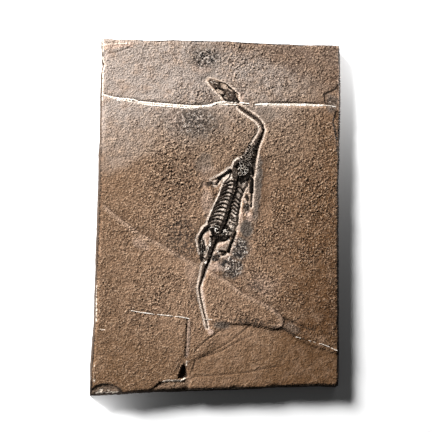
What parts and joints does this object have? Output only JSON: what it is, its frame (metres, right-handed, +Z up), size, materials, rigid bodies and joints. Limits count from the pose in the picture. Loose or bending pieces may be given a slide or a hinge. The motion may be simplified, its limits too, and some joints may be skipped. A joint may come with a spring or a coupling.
{
  "type": "fossil skeleton slab",
  "caption": "Slab of brown shale with the dark skeleton of a small long-necked marine reptile, Keichousaurus, lying in a scraped trough, crossed by white calcite veins.",
  "frame": {"origin": "Centre of the slab's footprint, on the flat back face that it lies on.", "axes": "+Z is up, out of the fossil face. +Y runs from the tail towards the head. +X is to the right seen from above."},
  "size_m": [0.218, 0.3089, 0.0133],
  "materials": {
    "shale": "fine pebbly bedding face of brown shale, dull and dry",
    "bone": "mineralised black-brown bone with a low sheen",
    "calcite": "milky white crystalline calcite"
  },
  "bodies": {
    "root": {"coracoid_left": "bone", "coracoid_right": "bone", "femur_left": "bone", "femur_right": "bone", "fibula_left": "bone", "fibula_right": "bone", "foot_left": "bone", "foot_right": "bone", "gastralia_left": "bone", "gastralia_right": "bone", "hand_left": "bone", "hand_right": "bone", "humerus_left": "bone", "humerus_right": "bone", "ilium_left": "bone", "ischium_left": "bone", "ischium_right": "bone", "neck_vertebrae": "bone", "pubis_left": "bone", "pubis_right": "bone", "radius_left": "bone", "radius_right": "bone", "rib_left_01": "bone", "rib_left_02": "bone", "rib_left_03": "bone", "rib_left_04": "bone", "rib_left_05": "bone", "rib_left_06": "bone", "rib_left_07": "bone", "rib_left_08": "bone", "rib_left_09": "bone", "rib_left_10": "bone", "rib_left_11": "bone", "rib_left_12": "bone", "rib_right_01": "bone", "rib_right_02": "bone", "rib_right_03": "bone", "rib_right_04": "bone", "rib_right_05": "bone", "rib_right_06": "bone", "rib_right_07": "bone", "rib_right_08": "bone", "rib_right_09": "bone", "scapula_left": "bone", "scapula_right": "bone", "skull": "bone", "slab": "shale", "tail_vertebrae": "bone", "tibia_left": "bone", "tibia_right": "bone", "trunk_vertebrae": "bone", "ulna_left": "bone", "ulna_right": "bone", "vein_left": "calcite", "vein_lower_left": "calcite", "vein_lower_right": "calcite", "vein_right": "calcite"}
  },
  "joints": []
}
